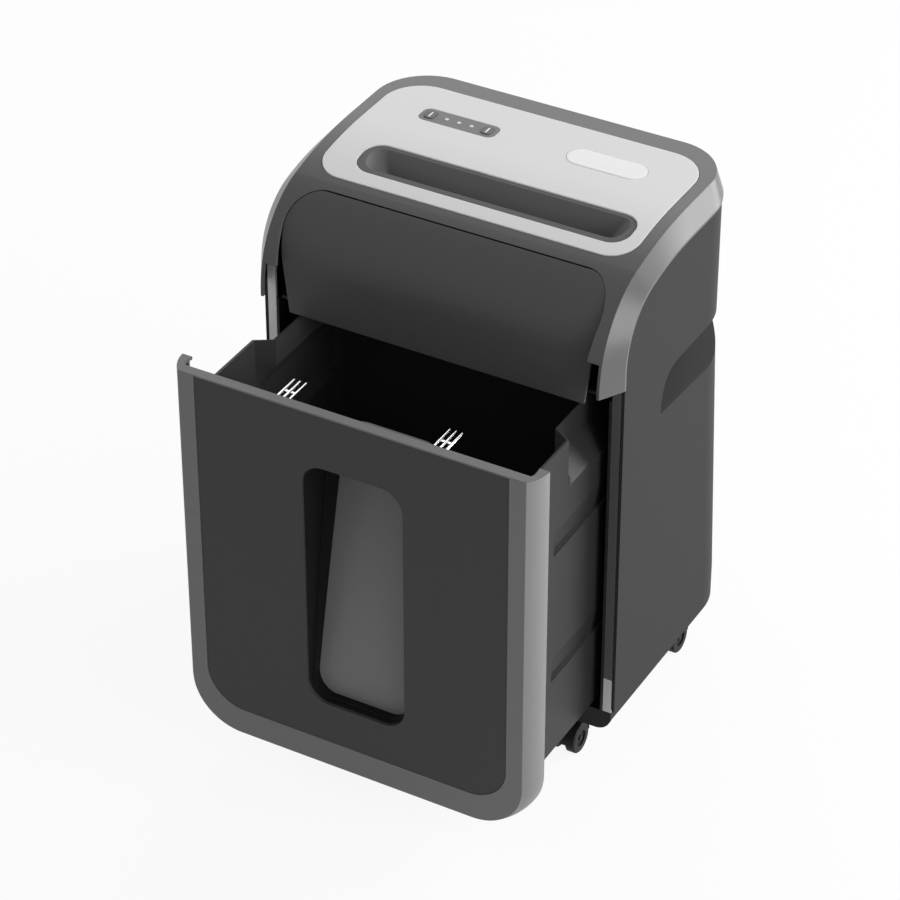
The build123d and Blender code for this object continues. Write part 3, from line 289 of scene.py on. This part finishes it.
def two_greys(material, first, second, share):
    """The first grey where the share is nought, and the second where it is one."""
    tree = material.node_tree
    mix = tree.nodes.new("ShaderNodeMix")
    mix.data_type = "RGBA"
    mix.inputs["A"].default_value = grey(first)
    mix.inputs["B"].default_value = grey(second)
    tree.links.new(share, mix.inputs["Factor"])
    tree.links.new(mix.outputs["Result"], shader_of(material).inputs["Base Color"])


def bare_metal(name, value, roughness):
    material = moulded(name, grey(value), roughness, strength=metal_grain_strength)
    shader_of(material).inputs["Metallic"].default_value = 1.0
    return material


def brass(name):
    material = moulded(name, brass_colour, coloured_roughness)
    shader_of(material).inputs["Metallic"].default_value = 1.0
    return material


def silver_paint(name):
    """A matt silver paint: mostly metal, with a fine sparkle."""
    material = moulded(name, grey(silver_grey), silver_roughness, strength=silver_grain_strength,
                       scale=silver_grain_scale, radius=silver_edge_radius)
    shader_of(material).inputs["Metallic"].default_value = silver_metallic
    return material


def smoky_pane(name):
    """Smoky plastic that lets only a little light through."""
    material = moulded(name, grey(pane_grey), pane_roughness, strength=0.0)
    shader_of(material).inputs["Alpha"].default_value = pane_alpha
    return material


def key_cap(name, middle):
    """A key's plastic with one plain bar printed on it."""
    material = moulded(name, grey(key_grey), key_roughness)
    bar = material.node_tree.nodes.new("ShaderNodeGroup")
    bar.node_tree = flat_bar
    bar.inputs["Centre"].default_value = middle
    bar.inputs["Half"].default_value = key_bar_half
    two_greys(material, key_grey, key_bar_grey, bar.outputs["Inside"])
    return material


def tub_plastic_painted_light(name):
    """The tub's plastic with painted light: paler on the faces that look towards its middle."""
    material = moulded(name, grey(tub_outside), tub_roughness)
    tree = material.node_tree
    place = tree.nodes.new("ShaderNodeTexCoord")
    inward = add_vector_math(tree, "SUBTRACT")
    inward.inputs[0].default_value = tub_middle
    turn = add_vector_math(tree, "DOT_PRODUCT")
    faces = add_math(tree, "GREATER_THAN", 0.0)
    tree.links.new(place.outputs["Object"], inward.inputs[1])
    tree.links.new(place.outputs["Normal"], turn.inputs[0])
    tree.links.new(inward.outputs["Vector"], turn.inputs[1])
    tree.links.new(turn.outputs["Value"], faces.inputs[0])
    # painted light: the faces that look inward get the paler grey
    two_greys(material, tub_outside, tub_inside_painted_light, faces.outputs["Value"])
    return material


def above(tree, reading, level):
    """One where the upward part of a place or a normal is over a level."""
    place = tree.nodes.new("ShaderNodeTexCoord")
    sides = tree.nodes.new("ShaderNodeSeparateXYZ")
    over = add_math(tree, "GREATER_THAN", level)
    tree.links.new(place.outputs[reading], sides.inputs["Vector"])
    tree.links.new(sides.outputs["Z"], over.inputs[0])
    return over.outputs["Value"]


def side_plastic_painted_shade(name):
    """A matt plastic with painted shade: darker on every face that leans upward, such as the
    sloping sill of the hand grip.
    """
    material = moulded(name, grey(side_skin), side_roughness, side_gloss)
    painted_shade_faces = above(material.node_tree, "Normal", painted_shade_slope)
    # painted shade: faces that lean upward get the darker grey
    two_greys(material, side_skin, side_sill_painted_shade, painted_shade_faces)
    return material


def trim_plastic_painted_shadow(name):
    """A light plastic under a painted shadow, apart from its light foot."""
    material = moulded(name, grey(trim_painted_shadow), trim_roughness)
    over_foot = above(material.node_tree, "Object", trim_foot_height)
    # painted shadow: everything above the foot height gets the dark grey
    two_greys(material, trim_foot, trim_painted_shadow, over_foot)
    return material


def paint():
    """Each slot of the record gets its material, and three pieces get one of their own."""
    looks = {
        "silver": silver_paint("silver"),
        "side_grey": side_plastic_painted_shade("side_grey"),
        # the side panels get painted shade on their upward faces
        "tub_black": tub_plastic_painted_light("tub_black"),
        # the tub gets painted light on its inside faces
        "window_smoke": smoky_pane("window_smoke"),
        "bush_brass": brass("bush_brass"),
        "board_green": moulded("board_green", board_colour, coloured_roughness),
    }
    for slot, (value, roughness) in plain_plastics.items():
        gloss = glossy_plastics.get(slot, plastic_gloss)
        looks[slot] = moulded(slot, grey(value), roughness, gloss)
    for slot, (value, roughness) in bare_metals.items():
        looks[slot] = bare_metal(slot, value, roughness)
    own = {
        # the right front trim gets a painted shadow above its light foot
        "right_front_trim": trim_plastic_painted_shadow("trim_painted_shadow"),
        "power_key": key_cap("power_mark", power_key_middle),
        "reverse_key": key_cap("reverse_mark", reverse_key_middle),
    }
    for part in frame["record"]["subparts"]:
        node = part["node"]
        mesh = nodes[node].data
        mesh.materials.clear()
        mesh.materials.append(own[node] if node in own else looks[part["material_slot"]])


def add_lamp(name, place, target, size, power):
    data = bpy.data.lights.new(name, "AREA")
    data.shape = "RECTANGLE"
    data.size, data.size_y = size
    data.energy = power
    lamp = bpy.data.objects.new(name, data)
    lamp.location = place
    lamp.rotation_euler = (Vector(place) - Vector(target)).to_track_quat("Z", "Y").to_euler()
    scene.collection.objects.link(lamp)


def seen_rays(tree):
    """One for rays that show a surface: from the camera, off a gloss or through a clear piece."""
    path = tree.nodes.new("ShaderNodeLightPath")
    shown = path.outputs["Is Camera Ray"]
    for kind in ("Is Glossy Ray", "Is Transmission Ray"):
        either = add_math(tree, "MAXIMUM")
        tree.links.new(shown, either.inputs[0])
        tree.links.new(path.outputs[kind], either.inputs[1])
        shown = either.outputs["Value"]
    return shown


def add_world():
    """White where it is seen; as light, even, with more of it from the right."""
    world = bpy.data.worlds.new("studio")
    world.use_nodes = True
    tree = world.node_tree
    tree.nodes.clear()
    backdrop = tree.nodes.new("ShaderNodeBackground")
    backdrop.inputs["Color"].default_value = white
    soft = tree.nodes.new("ShaderNodeBackground")
    soft.inputs["Color"].default_value = pale
    place = tree.nodes.new("ShaderNodeTexCoord")
    tilt = add_vector_math(tree, "DOT_PRODUCT")
    tilt.inputs[1].default_value = light_side
    slope = add_math(tree, "MULTIPLY_ADD", light_slope)
    slope.inputs[2].default_value = light_even
    least = add_math(tree, "MAXIMUM", light_even)
    mix = tree.nodes.new("ShaderNodeMixShader")
    out = tree.nodes.new("ShaderNodeOutputWorld")
    tree.links.new(place.outputs["Generated"], tilt.inputs[0])
    tree.links.new(tilt.outputs["Value"], slope.inputs[0])
    tree.links.new(slope.outputs["Value"], least.inputs[0])
    tree.links.new(least.outputs["Value"], soft.inputs["Strength"])
    tree.links.new(seen_rays(tree), mix.inputs["Fac"])
    tree.links.new(soft.outputs["Background"], mix.inputs[1])
    tree.links.new(backdrop.outputs["Background"], mix.inputs[2])
    tree.links.new(mix.outputs["Shader"], out.inputs["Surface"])
    scene.world = world


def floor_look(name):
    """White where it is seen, apart from a small share that takes the light and the shadow."""
    material = bpy.data.materials.new(name)
    material.use_nodes = True
    tree = material.node_tree
    shader = shader_of(material)
    shader.inputs["Base Color"].default_value = pale
    shader.inputs["Roughness"].default_value = floor_roughness
    share = add_math(tree, "MULTIPLY", floor_white)
    plain = tree.nodes.new("ShaderNodeEmission")
    mix = tree.nodes.new("ShaderNodeMixShader")
    out = tree.nodes["Material Output"]
    tree.links.new(seen_rays(tree), share.inputs[0])
    tree.links.new(share.outputs["Value"], mix.inputs["Fac"])
    tree.links.new(shader.outputs["BSDF"], mix.inputs[1])
    tree.links.new(plain.outputs["Emission"], mix.inputs[2])
    tree.links.new(mix.outputs["Shader"], out.inputs["Surface"])
    return material


def add_floor():
    mesh = bpy.data.meshes.new("floor")
    reach = floor_reach
    corners = [(-reach, -reach, 0), (reach, -reach, 0), (reach, reach, 0), (-reach, reach, 0)]
    mesh.from_pydata(corners, [], [(0, 1, 2, 3)])
    mesh.materials.append(floor_look("floor"))
    floor = bpy.data.objects.new("floor", mesh)
    scene.collection.objects.link(floor)


scene.view_settings.view_transform = "Standard"
add_camera()
add_world()
add_floor()
paint()
for lamp_name, lamp_values in lamps.items():
    add_lamp(lamp_name, *lamp_values)
